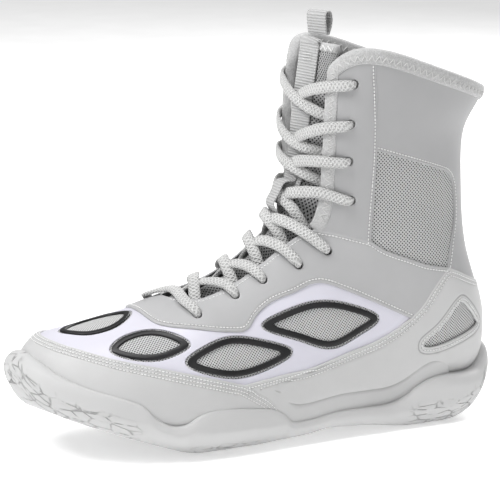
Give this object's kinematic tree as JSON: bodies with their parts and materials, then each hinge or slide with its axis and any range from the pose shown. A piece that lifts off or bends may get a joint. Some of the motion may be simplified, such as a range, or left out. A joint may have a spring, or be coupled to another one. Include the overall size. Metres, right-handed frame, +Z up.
{
  "type": "boxing boot",
  "caption": "Mid-height lace-up boxing boot for the left foot, with mesh windows, a folding tongue top, a pull loop and a cupped rubber sole.",
  "frame": {"origin": "on the ground under the middle of the boot's overall box", "axes": "+X towards the heel along the boot's length, +Y towards the inner (big-toe) side, +Z up"},
  "size_m": [0.292, 0.103, 0.2362],
  "materials": {
    "sole_rubber": "matt moulded rubber, light grey",
    "midsole_foam": "closed-cell foam, light grey",
    "panel_cloth": "matt synthetic leather with a fine grain",
    "shaft_cloth": "matt synthetic leather, a shade darker",
    "satin_overlay": "satin film bonded on cloth, light lilac grey",
    "knit_mesh": "spacer mesh with small openings",
    "ring_film": "near-black satin film",
    "stiffener_board": "pressed fibre sheet",
    "collar_foam": "soft foam sheet",
    "lining_mesh": "fine lining mesh",
    "sockliner_foam": "foam faced with lining mesh",
    "binding_tape": "folded knitted tape",
    "tongue_mesh": "padded spacer mesh",
    "webbing": "ribbed woven webbing",
    "lace_braid": "flat braided polyester",
    "aglet_plastic": "clear film over the lace end"
  },
  "bodies": {
    "boot": {"outsole": "sole_rubber", "midsole": "midsole_foam", "toe_guard": "panel_cloth", "heel_foxing": "panel_cloth", "quarter_panel": "panel_cloth", "vamp_overlay": "satin_overlay", "upper_eyestay_lateral": "shaft_cloth", "upper_eyestay_medial": "shaft_cloth", "shaft_panel": "shaft_cloth", "shaft_mesh_lateral": "knit_mesh", "shaft_mesh_medial": "knit_mesh", "heel_mesh_lateral": "knit_mesh", "heel_mesh_medial": "knit_mesh", "vamp_mesh": "knit_mesh", "window_ring_toe": "ring_film", "window_ring_lateral_1": "ring_film", "window_ring_lateral_2": "ring_film", "window_ring_lateral_3": "ring_film", "window_ring_medial_1": "ring_film", "window_ring_medial_2": "ring_film", "window_ring_medial_3": "ring_film", "toe_puff": "stiffener_board", "heel_counter": "stiffener_board", "eyestay_reinforcement_lateral": "stiffener_board", "eyestay_reinforcement_medial": "stiffener_board", "strobel_board": "stiffener_board", "shaft_padding": "collar_foam", "foot_lining": "lining_mesh", "shaft_lining": "lining_mesh", "sockliner": "sockliner_foam", "collar_binding": "binding_tape", "tongue_body": "tongue_mesh", "tongue_strap": "webbing", "lace_keeper": "webbing", "lace": "lace_braid", "aglet_lateral": "aglet_plastic", "aglet_medial": "aglet_plastic"},
    "tongue_top": {"tongue_tip": "tongue_mesh", "tongue_binding": "binding_tape", "strap_top": "webbing"},
    "pull_loop": {"pull_loop": "webbing"}
  },
  "joints": [
    {"name": "tongue_top_fold", "type": "hinge", "parent": "boot", "child": "tongue_top", "pos_m": [0.036, 0, 0.2038], "axis": [0, -1, 0], "range_deg": [-15, 70], "stiffness_Nm_per_rad": 0.02},
    {"name": "pull_loop_fold", "type": "hinge", "parent": "tongue_top", "child": "pull_loop", "pos_m": [0.0405, 0, 0.2222], "axis": [0, -1, 0], "range_deg": [-60, 60], "stiffness_Nm_per_rad": 0.004}
  ]
}
